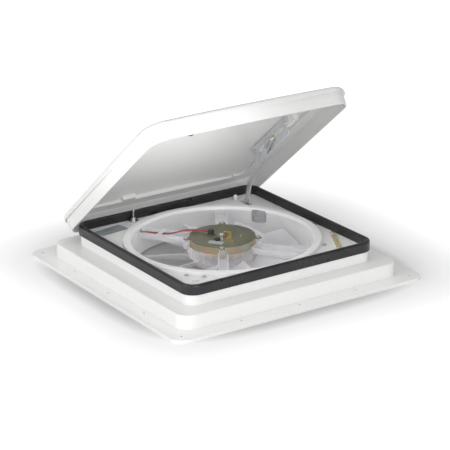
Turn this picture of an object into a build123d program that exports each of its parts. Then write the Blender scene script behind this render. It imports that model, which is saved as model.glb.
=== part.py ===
from build123d import *
import math
import os

os.makedirs("parts", exist_ok=True)

# Powered roof vent for a touring caravan: a moulded base, a fan in a clear
# duct, and a domed lid that a gear driven arm raises about two rear hinges.
# Millimetres, +Z up, origin at the centre of the base's lower face, the lid
# drawn raised and opening towards -Y. Angles are in degrees.

# Clearances
overrun = 2.0
seat_gap = 0.3
fit_gap = 0.05

# Base moulding
flange_half = 248.0
flange_corner = 25.0
flange_height = 5.5
flange_skin = 3.0
flange_lip = 3.0
flange_round = 1.5
wall_skin = 3.0
wall_draft = 2.0
flange_width = 30.0
lower_corner = 28.0
lower_top = 29.0
lower_round = 3.0
ledge_width = 33.5
upper_corner = 22.0
upper_draft = 0.7
shoulder_top = 47.5
deck_step = 2.0
rim_set = 0.5
rim_skin = 3.0
rim_height = 12.5
hole_inset = 20.0
hole_radius = 2.25
rib_skin = 2.0
rib_drop = 12.0
rib_spaces = 5

# Seal on the rim
seal_outer_flank = 3.0
seal_inner_flank = 2.0
seal_height = 17.5
seal_round = 3.6

# Intake ring and clear duct
ring_margin = 7.7
ring_width = 15.0
ring_height = 5.5
ring_lip_round = 3.5
ring_edge_round = 1.6
opening_step = 4.0
duct_wall = 2.0
duct_bottom = 4.0
duct_flange = 6.0
duct_flange_thick = 2.0
hub_outer = 60.5
hub_wall = 3.0
hub_bottom = 25.0
hub_top = 43.0
hub_rib_count = 28
hub_rib_width = 1.4
hub_rib_depth = 1.6
strut_azimuth = 57.5
strut_widths = (22.0, 30.0, 18.0, 30.0)
strut_bottom = 38.0
strut_height = 10.0
strut_skin = 2.2
wire_hole = 5.0

# Fan motor
can_gap = 0.8
can_bottom = 30.0
can_top = 56.0
can_round = 6.0
plate_thick = 1.5
plate_radius = 57.0
ear_radius = 5.5
ear_step = 2.0
ear_azimuths = (-124.0, -43.0, 57.0, 158.0)
post_drop = 16.0
screw_head = 3.6
screw_head_height = 2.2
screw_shank = 1.5
screw_length = 7.0

# Fan rotor
shaft_radius = 4.0
shaft_bottom = 6.0
shaft_socket = 14.0
rotor_hub_radius = 50.0
rotor_hub_bottom = 9.0
rotor_hub_height = 14.0
rotor_skin = 2.5
blade_count = 10
blade_gap = 5.0
blade_mid = 18.5
blade_thick = 2.0
blade_root_chord = 44.0
blade_tip_chord = 66.0
blade_root_pitch = 34.0
blade_tip_pitch = 19.0

# Lid
open_angle = 39.2
hinge_offset = 6.0
hinge_z = 39.0
lid_bottom = 36.0
skirt_margin = 12.5
skirt_corner = 34.0
skirt_skin = 2.75
skirt_flare = 2.5
line_height = 20.5
ledge_height = 29.3
ledge_thick = 1.8
ledge_margin = 12.5
ledge_corner = 22.0
band_skin = 2.5
frame_round = 6.0
cap_lap = 3.0
cap_skin = 2.7
cap_corner = 39.5
cap_edge_height = 32.2
cap_round = 10.0
cap_crown = 22.0
cap_margin = 1.5
ceiling_skin = 2.5

# Lid hinges
hinge_inset = 77.0
lug_radius = 4.5
lug_thick = 4.0
ear_thick = 6.0
ear_height = 15.0
pin_radius = 2.0
pin_head = 3.4
pin_head_thick = 1.2

# Lift arm and its drive
pivot_inset_x = 38.1
pivot_inset_y = 64.9
pivot_z = 37.0
arm_reach = 177.6
track_height = 22.0
arm_width = 10.0
arm_thick = 2.5
arm_line = 27.3
arm_jog_start = 9.0
arm_jog_end = 57.0
neck_back = 13.0
neck_low = 6.0
neck_high = 18.5
arm_hub = 7.0
pivot_pin = 3.0
slot_ahead = 5.2
slot_length = 35.0
slot_width = 9.0
gear_module = 1.2
sector_teeth = 30
pinion_teeth = 10
sector_thick = 4.0
sector_hub = 8.0
sector_margin = 12.0
mesh_azimuth = -58.0
mesh_gap = 0.4
tooth_height = 0.85
tooth_depth = 1.25
tooth_pitch_width = 1.35
tooth_tip_width = 0.7
tooth_root_width = 1.9
cheek_thick = 2.0
cheek_space = 11.6
cheek_ahead = 9.3
cheek_behind = 38.2
cheek_bottom = 8.0
cheek_flange = 6.0
pinion_shaft = 2.5
lift_motor_radius = 11.0
lift_motor_length = 30.0
housing_azimuth = 32.0
housing_step = 7.0
housing_radius = 15.5
housing_bottom = 32.0
housing_rise = 3.5

# Lift bracket in the lid
bracket_inset = 6.85
bracket_thick = 2.0
bracket_end_front = 8.4
bracket_end_back = 24.0
bracket_height = 29.0
bracket_corner = 6.0
bracket_ahead = 11.0
bracket_nose = 14.5
bracket_screw_lift = 5.5
track_run_front = 5.6
track_run_back = 55.0
track_clear = 1.2
track_bow = 0.6
roller_radius = 3.4
roller_flange = 5.6
roller_flange_thick = 1.2
roller_pin = 1.7
knob_radius = 3.2
knob_thick = 2.2
clip_thick = 1.2
clip_width = 3.0
clip_tail = 24.0
clip_lean = 8.0
pad_thick = 4.0
boss_thick = 9.0
pad_length = 10.0
boss_ahead = 27.0
pad_clear = 2.0

# Pieces on the deck
post_inset_x = 42.3
post_inset_y = 14.4
ball_radius = 4.2
ball_height = 4.6
post_radius = 2.8
switch_inset_x = 103.0
switch_inset_y = 8.3
switch_radius = 5.6
switch_depth = 22.0
ferrule_radius = 5.0
ferrule_height = 7.0
ferrule_round = 2.6
plunger_radius = 1.6
plunger_top = 21.5
plunger_head = 2.6
plunger_head_height = 2.6
sensor_inset_x = 24.7
sensor_inset_y = 59.7
sensor_length = 80.0
sensor_width = 11.0
sensor_thick = 1.6
sensor_turn = 63.0
strip_width = 2.0
strip_thick = 0.4
strip_pitch = 3.2
deck_screw_step = 5.2
deck_screw_azimuths = (-9.8, -44.1, -142.8, -133.1)
foot_inset_x = 37.7
foot_inset_y = 44.7
foot_radius = 5.0
foot_height = 2.0

# Lid bumper and lugs
bumper_inset_x = 80.7
bumper_inset_y = 28.7
bumper_radius = 5.5
bumper_tip = 4.0
striker_before = 9.3
striker_after = 17.2
striker_depth = 9.0
keeper_inset = 10.5
keeper_width = 9.0
keeper_depth = 5.0

# Wires in the left strut
wire_radius = 0.95
wire_height = 3.4
wire_spacing = 4.2
clip_reach = 114.0
clip_length = 6.0
clip_height = 2.4

# Levels and outlines that follow from the sizes above
lower_half = flange_half - flange_width
upper_half = lower_half - ledge_width
hole_pitch = (flange_half - hole_inset) / 2
rim_outer = upper_half - rim_set
rim_inner = rim_outer - rim_skin
rim_top = shoulder_top + rim_height
seal_outer = rim_outer + seal_outer_flank
seal_inner = rim_inner - seal_inner_flank
seal_top = shoulder_top + seal_height
deck_half = seal_inner - seat_gap
deck_top = shoulder_top + deck_step
deck_under = deck_top - wall_skin
ring_outer = deck_half - ring_margin
ring_inner = ring_outer - ring_width
ear_reach = hub_outer + ear_step
blade_tip = ring_inner - blade_gap
throat = ring_inner + opening_step
duct_outer = ring_inner + duct_wall
duct_top = deck_top - seat_gap
plate_top = can_top + plate_thick
can_radius = hub_outer - hub_wall - can_gap
lid_line = lid_bottom + line_height
skirt_half = upper_half + skirt_margin
ledge_half = upper_half - ledge_margin
hinge_y = skirt_half + hinge_offset
hinge_x = skirt_half - hinge_inset
ledge_level = lid_bottom + ledge_height
seat_level = ledge_level + ledge_thick
line_half = skirt_half + skirt_flare
cap_half = line_half + cap_lap
cap_edge = lid_bottom + cap_edge_height
pivot_x = deck_half - pivot_inset_x
pivot_y = deck_half - pivot_inset_y
arm_left = pivot_x - arm_thick / 2
arm_right = pivot_x + arm_thick / 2
open_sin = math.sin(math.radians(open_angle))
open_cos = math.cos(math.radians(open_angle))
tip_level = lid_bottom + track_height
turned_y = (pivot_y - hinge_y) * open_cos - (pivot_z - hinge_z) * open_sin
turned_z = (pivot_y - hinge_y) * open_sin + (pivot_z - hinge_z) * open_cos
drop_open = tip_level - hinge_z - turned_z
track_rest = hinge_y + turned_y - math.sqrt(arm_reach ** 2 - drop_open ** 2)
tip_y = hinge_y + (track_rest - hinge_y) * open_cos + (tip_level - hinge_z) * open_sin
tip_z = hinge_z - (track_rest - hinge_y) * open_sin + (tip_level - hinge_z) * open_cos
arm_rise = math.degrees(math.atan2(tip_z - pivot_z, pivot_y - tip_y))
arm_drop = math.degrees(math.asin((tip_level - pivot_z) / arm_reach))
arm_turn = arm_rise - arm_drop
track_level = tip_level - track_bow
track_back = track_rest + track_run_back
track_front = pivot_y - arm_reach * math.cos(math.radians(arm_drop)) - track_run_front
bracket_x = arm_left - bracket_inset
tip_right = bracket_x - screw_head_height - 2 * seat_gap
tip_left = tip_right - arm_thick
roller_right = bracket_x + bracket_thick + 2 * seat_gap
bracket_front = track_front - bracket_end_front
bracket_back = track_back + bracket_end_back
pad_bottom = deck_top + ring_height + pad_clear
slot_front = pivot_y + slot_ahead
slot_back = slot_front + slot_length
cheek_front = pivot_y - cheek_ahead
cheek_back = pivot_y + cheek_behind
housing_reach = ring_inner + housing_step
housing_top = deck_top + housing_rise
post_x = deck_half - post_inset_x
post_y = deck_half - post_inset_y
switch_x = switch_inset_x - deck_half
switch_y = deck_half - switch_inset_y
sensor_x = deck_half - sensor_inset_x
sensor_y = sensor_inset_y - deck_half
foot_x = foot_inset_x - deck_half
foot_y = foot_inset_y - deck_half
bumper_x = bumper_inset_x - deck_half
bumper_y = bumper_inset_y - deck_half
striker_left = switch_x - striker_before
striker_right = switch_x + striker_after
keeper_right = ledge_half - band_skin - keeper_inset
keeper_left = keeper_right - keeper_width
cheek_left = arm_left - cheek_thick - (cheek_space - arm_thick - sector_thick - seat_gap)
cheek_right = cheek_left + cheek_thick + cheek_space
sector_radius = gear_module * sector_teeth / 2
pinion_radius = gear_module * pinion_teeth / 2
mesh_distance = sector_radius + pinion_radius + mesh_gap
pinion_y = pivot_y + mesh_distance * math.cos(math.radians(mesh_azimuth))
pinion_z = pivot_z + mesh_distance * math.sin(math.radians(mesh_azimuth))


def corner_at(half):
    return upper_corner + half - upper_half


def slab(half, corner, bottom, top, draft=0):
    outline = Pos(0, 0, bottom) * RectangleRounded(2 * half, 2 * half, corner)
    return extrude(outline, top - bottom, taper=draft)


def edges_at(shape, level):
    near = seat_gap / 2
    return shape.edges().filter_by_position(Axis.Z, level - near, level + near)


def drum(radius, bottom, top, x=0, y=0):
    return extrude(Pos(x, y, bottom) * Circle(radius), top - bottom)


def tube(outer, inner, bottom, top, x=0, y=0):
    return extrude(Pos(x, y, bottom) * (Circle(outer) - Circle(inner)), top - bottom)


def side_plate(sketch, left, right):
    return extrude(Plane.YZ.offset(left) * sketch, right - left)


def cross_pin(radius, left, right, y, z):
    return side_plate(Pos(y, z) * Circle(radius), left, right)


def block(left, right, front, back, bottom, top):
    centre = Pos((left + right) / 2, (front + back) / 2, (bottom + top) / 2)
    return centre * Box(right - left, back - front, top - bottom)


def strip(points, width):
    """Flat strip of even width with round joints along a chain of points."""
    shape = Sketch()
    for start, end in zip(points, points[1:]):
        length = math.dist(start, end)
        turn = math.degrees(math.atan2(end[1] - start[1], end[0] - start[0]))
        middle = Pos((start[0] + end[0]) / 2, (start[1] + end[1]) / 2)
        shape += middle * Rot(0, 0, turn) * Rectangle(length, width)
    for point in points:
        shape += Pos(*point) * Circle(width / 2)
    return shape


def raised(shape):
    return shape.rotate(Axis((0, hinge_y, hinge_z), (1, 0, 0)), -open_angle)


def below_crown(offset):
    """Solid under the pillow shaped crown, lowered by an offset."""
    half = cap_half + cap_margin
    level = cap_edge - offset
    grid = []
    for i in (-1, 0, 1):
        row = []
        for j in (-1, 0, 1):
            peak = 4 * cap_crown if i == 0 and j == 0 else 0
            row.append((i * half, j * half, level + peak))
        grid.append(row)
    return extrude(Face.make_bezier_surface(grid), level, dir=(0, 0, -1))


# Base moulding


def make_base_frame():
    flange = slab(flange_half, flange_corner, 0, flange_height)
    flange = fillet(edges_at(flange, flange_height), flange_round)
    lower = slab(lower_half, lower_corner, 0, lower_top, wall_draft)
    lower = fillet(edges_at(lower, lower_top), lower_round)
    upper = slab(upper_half, upper_corner, deck_step, shoulder_top, upper_draft)
    deck = slab(deck_half, corner_at(deck_half), deck_step, deck_top)
    rim = slab(rim_outer, corner_at(rim_outer), shoulder_top, rim_top)
    rim -= slab(rim_inner, corner_at(rim_inner), shoulder_top, rim_top)
    base = flange + lower + upper + deck + rim
    recess = slab(flange_half - flange_lip, flange_corner - flange_lip, -overrun, flange_height - flange_skin)
    recess -= slab(lower_half, lower_corner, -overrun, flange_height)
    lower_inner = lower_half - wall_skin
    hollow = slab(lower_inner, lower_corner - wall_skin, -overrun, lower_top - wall_skin, wall_draft)
    upper_inner = upper_half - wall_skin
    hollow += slab(upper_inner, corner_at(upper_inner), 0, shoulder_top - wall_skin)
    deck_inner = deck_half - wall_skin
    hollow += slab(deck_inner, corner_at(deck_inner), 0, deck_under)
    base = base - recess - hollow
    base += ledge_ribs(upper_inner, lower_inner)
    base -= drum(throat, 0, deck_top + overrun)
    base -= Pos(0, 0, -overrun) * extrude(screw_holes(), flange_height + 2 * overrun)
    slot = Pos(pivot_x, (slot_back + slot_front) / 2, deck_under - overrun) * Rot(0, 0, 90)
    base -= extrude(slot * SlotOverall(slot_length, slot_width), wall_skin + 2 * overrun)
    base -= drum(switch_radius - seat_gap, deck_under - overrun, deck_top + overrun, switch_x, switch_y)
    base -= drum(post_radius / 2 + fit_gap, deck_under - overrun, deck_top + overrun, post_x, post_y)
    for x, y in deck_screw_places():
        base -= drum(screw_shank + fit_gap, deck_under - overrun, deck_top + overrun, x, y)
    for side in (-1, 1):
        base += hinge_lugs(side * hinge_x)
    return base


def deck_screw_places():
    reach = ring_outer + deck_screw_step
    places = []
    for azimuth in deck_screw_azimuths:
        angle = math.radians(azimuth)
        places.append((reach * math.cos(angle), reach * math.sin(angle)))
    return places


def screw_holes():
    holes = Sketch()
    for i in range(-2, 3):
        for j in range(-2, 3):
            if max(abs(i), abs(j)) == 2:
                holes += Pos(i * hole_pitch, j * hole_pitch) * Circle(hole_radius)
    return holes


def ledge_ribs(inner, outer):
    """Ribs under the lower ledge, between the two walls."""
    level = lower_top - wall_skin
    ribs = Part()
    for turn in range(4):
        for place in range(1, rib_spaces + 1):
            x = 2 * inner * place / (rib_spaces + 1) - inner
            rib = block(x - rib_skin / 2, x + rib_skin / 2, inner, outer, level - rib_drop, level)
            ribs += Rot(0, 0, 90 * turn) * rib
    return ribs


def hinge_lugs(x):
    outline = strip([(hinge_y, hinge_z), (hinge_y, lower_top)], 2 * lug_radius)
    outline -= Pos(hinge_y, lower_top - lug_radius / 2) * Rectangle(3 * lug_radius, lug_radius)
    outline -= Pos(hinge_y, hinge_z) * Circle(pin_radius + fit_gap)
    inner = ear_thick / 2 + seat_gap
    lugs = side_plate(outline, x - inner - lug_thick, x - inner)
    lugs += side_plate(outline, x + inner, x + inner + lug_thick)
    return lugs


def make_seal():
    seal = slab(seal_outer, corner_at(seal_outer), shoulder_top, seal_top)
    seal -= slab(seal_inner, corner_at(seal_inner), shoulder_top, seal_top)
    seal = fillet(edges_at(seal, seal_top), seal_round)
    groove_outer = rim_outer + seat_gap
    groove_inner = rim_inner - seat_gap
    groove = slab(groove_outer, corner_at(groove_outer), shoulder_top, rim_top + seat_gap)
    groove -= slab(groove_inner, corner_at(groove_inner), shoulder_top, rim_top + seat_gap)
    return seal - groove


# Air path


def make_ring():
    ring = tube(ring_outer, ring_inner, deck_top, deck_top + ring_height)
    top = edges_at(ring, deck_top + ring_height).sort_by(SortBy.LENGTH)
    ring = fillet(top[0], ring_lip_round)
    top = edges_at(ring, deck_top + ring_height).sort_by(SortBy.LENGTH)
    return fillet(top[-1], ring_edge_round)


def housing_place():
    angle = math.radians(housing_azimuth)
    return housing_reach * math.cos(angle), housing_reach * math.sin(angle)


def strut_angles():
    return (strut_azimuth, 180 - strut_azimuth, 180 + strut_azimuth, -strut_azimuth)


def housing_notch():
    x, y = housing_place()
    return drum(housing_radius + 2 * seat_gap, housing_bottom - 2 * seat_gap, deck_top, x, y)


def make_duct():
    duct = tube(duct_outer, ring_inner, duct_bottom, duct_top)
    duct += tube(duct_outer + duct_flange, ring_inner, deck_under - duct_flange_thick, deck_under)
    hole = Pos(ring_inner - overrun, 0, strut_bottom + strut_skin + wire_height) * Rot(0, 90, 0)
    hole *= extrude(Circle(wire_hole), duct_wall + 2 * overrun)
    return duct - housing_notch() - Rot(0, 0, 180 - strut_azimuth) * hole


def make_spider():
    """Ribbed motor cup on four channel shaped struts."""
    hub = tube(hub_outer, hub_outer - hub_wall, hub_bottom, hub_top)
    rib_low = hub_bottom + hub_rib_depth
    rib_high = hub_top - hub_rib_depth
    for i in range(hub_rib_count):
        rib = block(hub_outer - hub_wall / 2, hub_outer + hub_rib_depth,
                    -hub_rib_width / 2, hub_rib_width / 2, rib_low, rib_high)
        hub += Rot(0, 0, 360 * i / hub_rib_count) * rib
    for angle in ear_azimuths:
        post = drum(ear_radius, can_top - post_drop, can_top, ear_reach, 0)
        post -= drum(screw_shank + fit_gap, can_top - screw_length, can_top, ear_reach, 0)
        hub += Rot(0, 0, angle) * post
    hub -= drum(hub_outer - hub_wall, 0, can_top + overrun)
    for angle, width in zip(strut_angles(), strut_widths):
        inner = width / 2 - strut_skin
        strut = block(hub_outer - hub_wall / 2, ring_inner, -width / 2, width / 2,
                      strut_bottom, strut_bottom + strut_height)
        strut -= block(hub_outer, ring_inner, -inner, inner,
                       strut_bottom + strut_skin, strut_bottom + strut_height + overrun)
        hub += Rot(0, 0, angle) * (strut & drum(ring_inner - seat_gap, 0, deck_top))
    return hub - housing_notch()


# Fan motor


def make_motor_can():
    can = drum(can_radius, can_bottom, can_top)
    can = fillet(edges_at(can, can_bottom), can_round)
    return can - drum(shaft_radius + fit_gap, 0, can_bottom + shaft_socket)


def make_end_plate():
    outline = Circle(plate_radius)
    for angle in ear_azimuths:
        outline += Rot(0, 0, angle) * strip([(0, 0), (ear_reach, 0)], 2 * ear_radius)
    for angle in ear_azimuths:
        outline -= Rot(0, 0, angle) * Pos(ear_reach, 0) * Circle(screw_shank + fit_gap)
    return extrude(Pos(0, 0, can_top) * outline, plate_thick)


def screw(x, y, seat, length):
    head = drum(screw_head, seat, seat + screw_head_height, x, y)
    head = fillet(edges_at(head, seat + screw_head_height), screw_head_height / 2)
    return head + drum(screw_shank, seat - length, seat, x, y)


def make_motor_screws():
    screws = []
    for angle in ear_azimuths:
        x = ear_reach * math.cos(math.radians(angle))
        y = ear_reach * math.sin(math.radians(angle))
        screws.append(screw(x, y, plate_top, screw_length))
    return Compound(children=screws)


connector_reach = 21.9
connector_length = 8.0
connector_width = 9.0
connector_height = 8.0
connector_bore = 4.0
brush_x = -20.0
brush_y = -15.0
brush_length = 9.0
brush_width = 7.5
brush_height = 4.5
brush_round = 1.5
boss_x = -5.0
boss_y = -6.0
boss_radius = 4.5
boss_height = 6.5
boss_round = 1.2
terminal_places = ((6.0, -8.5, -52.0), (-2.6, -35.7, 20.0), (23.3, -21.5, 60.0))
terminal_lengths = (14.0, 4.5, 4.5)
terminal_heights = (8.0, 2.0, 2.0)
terminal_width = 3.2
bearing_radius = 14.0
bearing_height = 2.4
bearing_x = 4.0
bearing_y = 6.0


def top_block(x, y, length, width, height):
    return Pos(x, y, plate_top + height / 2) * Box(length, width, height)


def wire_level():
    return plate_top + connector_height / 2


def make_connector():
    """Housing with two bores that the wires enter."""
    body = top_block(connector_reach, 0, connector_length, connector_width, connector_height)
    body = fillet(body.edges().filter_by(Axis.Z), connector_height / connector_width)
    bore = Pos(connector_reach + connector_length / 2 - connector_bore, 0, wire_level()) * Rot(0, 90, 0)
    for side in (-1, 1):
        hole = Pos(0, side * wire_spacing / 2, 0) * Circle(wire_radius + fit_gap)
        body -= bore * extrude(hole, connector_bore + overrun)
    return Rot(0, 0, 180 - strut_azimuth) * body


def make_brush_holder():
    body = top_block(brush_x, brush_y, brush_length, brush_width, brush_height)
    return fillet(body.edges().filter_by(Axis.Z), brush_round)


def make_motor_boss():
    body = drum(boss_radius, plate_top, plate_top + boss_height, boss_x, boss_y)
    return fillet(edges_at(body, plate_top + boss_height), boss_round)


def make_terminals():
    pieces = []
    for (x, y, turn), length, height in zip(terminal_places, terminal_lengths, terminal_heights):
        leaf = Pos(0, 0, height / 2) * Box(length, terminal_width, height)
        leaf = fillet(leaf.edges().filter_by(Axis.Z), terminal_width / 4)
        pieces.append(Pos(x, y, plate_top) * Rot(0, 0, turn) * leaf)
    return Compound(children=pieces)


def make_bearing():
    body = drum(bearing_radius, plate_top, plate_top + bearing_height, bearing_x, bearing_y)
    body = fillet(edges_at(body, plate_top + bearing_height), bearing_height / 2)
    x, y, turn = terminal_places[0]
    body -= drum(boss_radius + seat_gap, plate_top, plate_top + 2 * bearing_height, boss_x, boss_y)
    notch = Box(terminal_lengths[0] + 2 * seat_gap, terminal_width + 2 * seat_gap, 2 * plate_top)
    return body - Pos(x, y, plate_top) * Rot(0, 0, turn) * notch


# Fan rotor


def blade_section(radius, chord, pitch):
    plane = Plane(origin=(radius, 0, blade_mid), x_dir=(0, 1, 0), z_dir=(1, 0, 0))
    return plane * Rot(0, 0, pitch) * RectangleRounded(chord, blade_thick, blade_thick * 0.45)


def make_rotor():
    top = rotor_hub_bottom + rotor_hub_height
    hub = drum(rotor_hub_radius, rotor_hub_bottom, top)
    hub = fillet(edges_at(hub, rotor_hub_bottom), rotor_skin)
    hub -= drum(rotor_hub_radius - rotor_skin, rotor_hub_bottom + rotor_skin, top)
    hub += drum(2 * shaft_radius, rotor_hub_bottom, top)
    root = rotor_hub_radius - rotor_skin / 2
    middle = (root + blade_tip) / 2
    end = blade_tip + overrun
    blade = loft([
        blade_section(root, blade_root_chord, blade_root_pitch),
        blade_section(middle, (blade_root_chord + blade_tip_chord) / 2, (blade_root_pitch + blade_tip_pitch) / 2),
        blade_section(end, blade_tip_chord, blade_tip_pitch),
    ])
    blade &= tube(blade_tip, rotor_hub_radius - rotor_skin, 0, shoulder_top)
    blade -= drum(hub_outer + hub_rib_depth + overrun, hub_bottom - overrun, shoulder_top)
    rotor = hub
    for i in range(blade_count):
        rotor += Rot(0, 0, 360 * i / blade_count) * blade
    return rotor - drum(shaft_radius + fit_gap, 0, top)


def make_shaft():
    return drum(shaft_radius, shaft_bottom, can_bottom + shaft_socket - seat_gap)


nut_radius = 7.0
nut_height = 3.0


def make_rotor_nut():
    body = Pos(0, 0, rotor_hub_bottom - nut_height) * RegularPolygon(nut_radius, 6)
    return extrude(body, nut_height) - drum(shaft_radius + fit_gap, 0, rotor_hub_bottom)


# Lid


def make_lid_frame():
    flare = -math.degrees(math.atan2(skirt_flare, line_height))
    corner = skirt_corner
    upper_corner_here = skirt_corner + skirt_flare
    body = slab(line_half, upper_corner_here, lid_line, seat_level)
    body = fillet(edges_at(body, seat_level), frame_round)
    body += slab(skirt_half, corner, lid_bottom, lid_line, flare)
    inner = slab(skirt_half - skirt_skin, corner - skirt_skin, lid_bottom, lid_line, flare)
    inner += slab(line_half - skirt_skin, upper_corner_here - skirt_skin, lid_line, ledge_level)
    body -= inner
    body -= slab(ledge_half - band_skin, ledge_corner - band_skin, ledge_level, seat_level)
    band = slab(ledge_half, ledge_corner, ledge_level, seat_level + 3 * ledge_thick + ledge_thick)
    band -= slab(ledge_half - band_skin, ledge_corner - band_skin, ledge_level, lid_bottom + 2 * line_height)
    ceiling = below_crown(ceiling_skin + fit_gap)
    body += band & ceiling
    band_inner = ledge_half - band_skin
    lugs = block(striker_left, striker_right, band_inner - striker_depth, band_inner,
                 ledge_level, lid_bottom + 2 * line_height)
    lugs += block(keeper_left, keeper_right, band_inner - keeper_depth, band_inner,
                  ledge_level, lid_bottom + 2 * line_height)
    body += lugs & ceiling
    for side in (-1, 1):
        body += hinge_ear(side * hinge_x)
    return raised(body)


def hinge_ear(x):
    face = skirt_half - skirt_skin / 2
    outline = strip([(face, hinge_z), (hinge_y, hinge_z)], 2 * lug_radius)
    outline += strip([(hinge_y, hinge_z), (face, hinge_z + ear_height)], 2 * lug_radius)
    outline -= Pos(face - 3 * lug_radius, hinge_z) * Rectangle(6 * lug_radius, 6 * ear_height)
    outline -= Pos(hinge_y, hinge_z) * Circle(pin_radius + fit_gap)
    return side_plate(outline, x - ear_thick / 2, x + ear_thick / 2)


def make_lid_cap():
    outer = slab(cap_half, cap_corner, lid_line, cap_edge + 2 * cap_crown) & below_crown(0)
    rim = outer.edges().filter_by_position(Axis.Z, cap_edge - cap_round, cap_edge + cap_crown)
    outer = fillet(rim, cap_round)
    lap_half = cap_half - cap_skin
    lap = slab(lap_half, cap_corner - cap_skin, lid_line, seat_level)
    lap = fillet(edges_at(lap, seat_level), frame_round)
    recess = slab(ledge_half, ledge_corner, lid_line, cap_edge + 2 * cap_crown)
    recess &= below_crown(ceiling_skin)
    cap = outer - lap - recess
    plate_right = bracket_x + bracket_thick
    ceiling = below_crown(ceiling_skin / 2)
    rear = block(plate_right, plate_right + pad_thick, bracket_back - pad_length - seat_gap,
                 bracket_back - seat_gap, pad_bottom, cap_edge + cap_crown)
    front = block(plate_right, plate_right + boss_thick, bracket_front - boss_ahead,
                  track_front - pad_thick, pad_bottom, cap_edge + cap_crown)
    cap += (rear + front) & ceiling
    for place in bracket_screw_places():
        cap -= cross_pin(screw_shank + fit_gap, plate_right, plate_right + pad_thick - seat_gap, *place)
    return raised(cap)


def bracket_screw_places():
    level = track_level + bracket_screw_lift
    return (((bracket_back + track_back) / 2, level), (bracket_front, level))


def make_bracket():
    """Slotted plate, longer along its upper edge than below."""
    middle = (bracket_front + bracket_back) / 2
    outline = Pos(middle, track_level) * RectangleRounded(
        bracket_back - bracket_front, bracket_height, bracket_corner)
    nose_top = track_level + bracket_height / 2
    nose = Pos(bracket_front, nose_top - bracket_nose / 2) * RectangleRounded(
        2 * bracket_ahead, bracket_nose, bracket_corner / 2)
    outline += nose
    track = 2 * (roller_radius + track_clear)
    outline -= Pos((track_front + track_back) / 2, track_level) * SlotOverall(track_back - track_front, track)
    for place in bracket_screw_places():
        outline -= Pos(*place) * Circle(screw_shank + fit_gap)
    return raised(side_plate(outline, bracket_x, bracket_x + bracket_thick))


def make_bracket_screws():
    pieces = []
    for place in bracket_screw_places():
        head = cross_pin(screw_head, bracket_x - screw_head_height, bracket_x, *place)
        shank = cross_pin(screw_shank, bracket_x, bracket_x + bracket_thick + pad_thick - 2 * seat_gap, *place)
        pieces.append(raised(head + shank))
    return Compound(children=pieces)


def make_bumper():
    tip = deck_top + seat_gap
    body = drum(bumper_radius, tip, cap_edge + cap_crown, bumper_x, bumper_y)
    body = fillet(edges_at(body, tip), bumper_tip)
    return raised(body & below_crown(ceiling_skin))


def make_hinge_pin(side):
    x = side * hinge_x
    reach = ear_thick / 2 + seat_gap + lug_thick
    pin = cross_pin(pin_radius, x - reach, x + reach + pin_head_thick, hinge_y, hinge_z)
    return pin + cross_pin(pin_head, x - reach - pin_head_thick, x - reach, hinge_y, hinge_z)


# Lift arm and drive


def arm_place():
    """Places a shape drawn with the arm lowered and its pivot at zero."""
    return Pos(pivot_y, pivot_z) * Rot(0, 0, -arm_turn)


def make_arm():
    """Flat arm with a neck at its pivot, set over towards the lid's middle half way."""
    drop = math.radians(arm_drop)
    tip = (-arm_reach * math.cos(drop), arm_reach * math.sin(drop))
    chain = [(0, 0), (neck_back, neck_low), (neck_back, neck_high), (neck_back / 3, arm_line), tip]
    outline = strip(chain, arm_width) + Circle(arm_hub)
    outline -= Circle(pivot_pin + fit_gap)
    outline -= Pos(*tip) * Circle(roller_pin + fit_gap)
    plate = side_plate(arm_place() * outline, tip_left - overrun, arm_right + overrun)
    far = arm_reach + arm_width
    ribbon = [(arm_left, far), (arm_left, -arm_jog_start), (tip_left, -arm_jog_end), (tip_left, -far),
              (tip_right, -far), (tip_right, -arm_jog_end), (arm_right, -arm_jog_start), (arm_right, far)]
    bend = extrude(Pos(0, 0, -far) * make_face(Polyline(*ribbon, close=True)), 2 * far)
    return plate & (Pos(0, pivot_y, pivot_z) * Rot(-arm_turn, 0, 0) * bend)


def tooth(radius):
    """One straight flanked tooth, pointing along the first axis."""
    low = radius - tooth_depth
    high = radius + tooth_height
    sunk = low - tooth_height
    outline = [(sunk, -tooth_root_width / 2), (low, -tooth_root_width / 2),
               (radius, -tooth_pitch_width / 2), (high, -tooth_tip_width / 2),
               (high, tooth_tip_width / 2), (radius, tooth_pitch_width / 2),
               (low, tooth_root_width / 2), (sunk, tooth_root_width / 2)]
    return make_face(Polyline(*outline, close=True))


def make_sector():
    root = sector_radius - tooth_depth
    first = mesh_azimuth - arm_turn - sector_margin
    last = mesh_azimuth + sector_margin
    outline = Circle(root)
    far = 2 * sector_radius
    keep = [(0, 0)]
    steps = 6
    for i in range(steps + 1):
        angle = math.radians(first + (last - first) * i / steps)
        keep.append((far * math.cos(angle), far * math.sin(angle)))
    outline &= make_face(Polyline(*keep, close=True))
    outline += Circle(sector_hub)
    pitch = 360 / sector_teeth
    for i in range(math.ceil((first - mesh_azimuth) / pitch), math.floor((last - mesh_azimuth) / pitch) + 1):
        outline += Rot(0, 0, mesh_azimuth + i * pitch) * tooth(sector_radius)
    outline -= Circle(pivot_pin + fit_gap)
    return side_plate(Pos(pivot_y, pivot_z) * outline, arm_right, arm_right + sector_thick)


def make_pinion():
    outline = Circle(pinion_radius - tooth_depth)
    pitch = 360 / pinion_teeth
    for i in range(pinion_teeth):
        outline += Rot(0, 0, mesh_azimuth + 180 + pitch * (i + 0.5)) * tooth(pinion_radius)
    gear = side_plate(Pos(pinion_y, pinion_z) * outline, arm_right, arm_right + sector_thick)
    reach = cheek_right + cheek_thick + lift_motor_length / 2
    return gear + cross_pin(pinion_shaft, arm_right, reach, pinion_y, pinion_z)


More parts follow.
